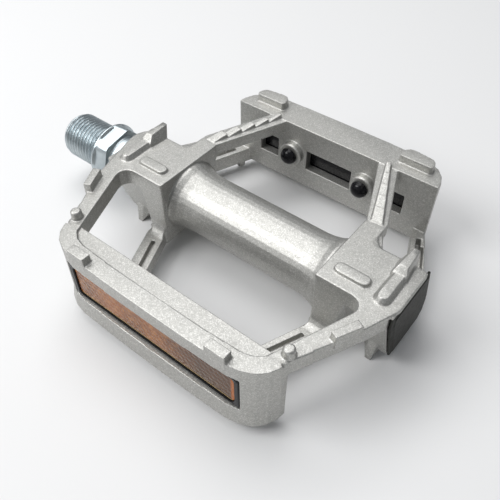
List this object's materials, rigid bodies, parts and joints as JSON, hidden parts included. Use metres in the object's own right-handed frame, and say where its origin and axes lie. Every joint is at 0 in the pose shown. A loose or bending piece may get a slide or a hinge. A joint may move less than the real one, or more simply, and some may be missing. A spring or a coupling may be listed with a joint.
{
  "type": "flat bicycle pedal",
  "caption": "Die-cast platform pedal: open frame with gripping lugs and teeth, reflectors in both bars, turning on a threaded steel spindle with a spanner collar.",
  "frame": {"origin": "centre of the flat end of the spindle's thread, on the spindle's axis", "axes": "+X along the spindle from the thread towards the outboard end, +Z out of one tread, -Y towards one of the two reflector bars; half a turn about X brings the other tread and the other bar to the same place"},
  "size_m": [0.1199, 0.0892, 0.028],
  "materials": {
    "casting": "die-cast, sand-silver paint with a fine sparkle",
    "plated_steel": "bright zinc plate",
    "bearing_steel": "ground and hardened",
    "black_plastic": "moulded, low sheen",
    "black_cap": "moulded, sandy texture",
    "amber_lens": "clear amber, prismatic back"
  },
  "bodies": {
    "spindle": {"spindle": "plated_steel", "outboard_cone": "bearing_steel", "keyed_washer": "plated_steel", "locknut": "plated_steel"},
    "platform": {"platform_body": "casting", "front_reflector_housing": "black_plastic", "front_reflector_lens": "amber_lens", "rear_reflector_housing": "black_plastic", "rear_reflector_lens": "amber_lens", "front_left_retainer_cap": "black_plastic", "front_right_retainer_cap": "black_plastic", "rear_left_retainer_cap": "black_plastic", "rear_right_retainer_cap": "black_plastic", "inboard_bearing_cup": "bearing_steel", "outboard_bearing_cup": "bearing_steel", "inboard_dust_seal": "black_plastic", "outboard_dust_cap": "black_cap"},
    "inboard_balls": {"inboard_ball_01": "bearing_steel", "inboard_ball_02": "bearing_steel", "inboard_ball_03": "bearing_steel", "inboard_ball_04": "bearing_steel", "inboard_ball_05": "bearing_steel", "inboard_ball_06": "bearing_steel", "inboard_ball_07": "bearing_steel", "inboard_ball_08": "bearing_steel", "inboard_ball_09": "bearing_steel", "inboard_ball_10": "bearing_steel"},
    "outboard_balls": {"outboard_ball_01": "bearing_steel", "outboard_ball_02": "bearing_steel", "outboard_ball_03": "bearing_steel", "outboard_ball_04": "bearing_steel", "outboard_ball_05": "bearing_steel", "outboard_ball_06": "bearing_steel", "outboard_ball_07": "bearing_steel", "outboard_ball_08": "bearing_steel", "outboard_ball_09": "bearing_steel", "outboard_ball_10": "bearing_steel"}
  },
  "joints": [
    {"name": "platform_spin", "type": "hinge", "parent": "spindle", "child": "platform", "pos_m": [0.074, 0, 0], "axis": [1, 0, 0], "continuous": true},
    {"name": "inboard_balls_roll", "type": "hinge", "parent": "spindle", "child": "inboard_balls", "pos_m": [0.0335, 0, 0], "axis": [1, 0, 0], "continuous": true},
    {"name": "outboard_balls_roll", "type": "hinge", "parent": "spindle", "child": "outboard_balls", "pos_m": [0.1105, 0, 0], "axis": [1, 0, 0], "continuous": true}
  ],
  "couplings": [
    {"joint": "inboard_balls_roll", "follows": "platform_spin", "ratio": 0.607},
    {"joint": "outboard_balls_roll", "follows": "platform_spin", "ratio": 0.607}
  ]
}
